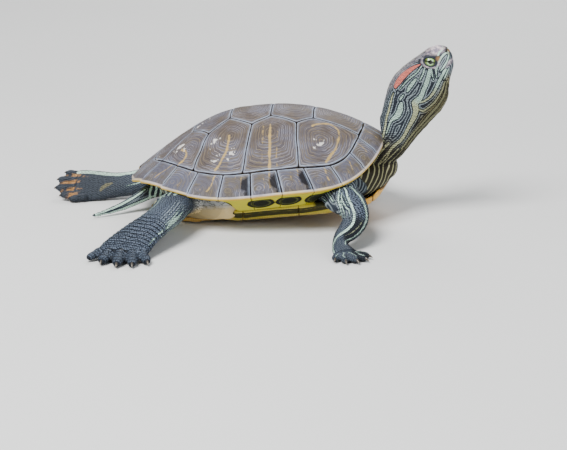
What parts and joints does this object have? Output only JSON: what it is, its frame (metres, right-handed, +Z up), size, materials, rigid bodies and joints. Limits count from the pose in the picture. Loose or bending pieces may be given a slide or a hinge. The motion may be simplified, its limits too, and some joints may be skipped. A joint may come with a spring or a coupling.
{
  "type": "red-eared slider turtle model",
  "caption": "Life-size still model of an adult red-eared slider turtle basking: belly down, head raised, propped on its forelegs, with a hind leg and the tail stretched out behind.",
  "frame": {"origin": "on the floor, at the middle of the flat at the rear of the plastron that the body rests on", "axes": "+X towards the head, +Y to the animal's left, +Z up"},
  "size_m": [0.3201, 0.3055, 0.1368],
  "materials": {
    "shell_horn": "weathered grey-brown horn with growth rings, thin yellow bars and a dry sheen",
    "belly_horn": "yellow horn with dark ringed blotches, satin",
    "skin": "dark slate-olive scaly skin with pale green and yellow stripes and a red patch behind the eye",
    "eye": "wet, glossy, green-gold iris with a dark bar"
  },
  "bodies": {
    "root": {"vertebral_1": "shell_horn", "vertebral_2": "shell_horn", "vertebral_3": "shell_horn", "vertebral_4": "shell_horn", "vertebral_5": "shell_horn", "pleural_1_right": "shell_horn", "pleural_1_left": "shell_horn", "pleural_2_right": "shell_horn", "pleural_2_left": "shell_horn", "pleural_3_right": "shell_horn", "pleural_3_left": "shell_horn", "pleural_4_right": "shell_horn", "pleural_4_left": "shell_horn", "marginal_1_right": "shell_horn", "marginal_1_left": "shell_horn", "marginal_2_right": "shell_horn", "marginal_2_left": "shell_horn", "marginal_3_right": "shell_horn", "marginal_3_left": "shell_horn", "marginal_4_right": "shell_horn", "marginal_4_left": "shell_horn", "marginal_5_right": "shell_horn", "marginal_5_left": "shell_horn", "marginal_6_right": "shell_horn", "marginal_6_left": "shell_horn", "marginal_7_right": "shell_horn", "marginal_7_left": "shell_horn", "marginal_8_right": "shell_horn", "marginal_8_left": "shell_horn", "marginal_9_right": "shell_horn", "marginal_9_left": "shell_horn", "marginal_10_right": "shell_horn", "marginal_10_left": "shell_horn", "marginal_11_right": "shell_horn", "marginal_11_left": "shell_horn", "marginal_12_right": "shell_horn", "marginal_12_left": "shell_horn", "cervical": "shell_horn", "gular_right": "belly_horn", "gular_left": "belly_horn", "humeral_right": "belly_horn", "humeral_left": "belly_horn", "pectoral_right": "belly_horn", "pectoral_left": "belly_horn", "abdominal_right": "belly_horn", "abdominal_left": "belly_horn", "femoral_right": "belly_horn", "femoral_left": "belly_horn", "anal_right": "belly_horn", "anal_left": "belly_horn", "trunk": "skin", "neck": "skin", "head": "skin", "eye_right": "eye", "eye_left": "eye", "leg_fore_right": "skin", "leg_fore_left": "skin", "leg_hind_right": "skin", "leg_hind_left": "skin", "tail": "skin"}
  },
  "joints": []
}
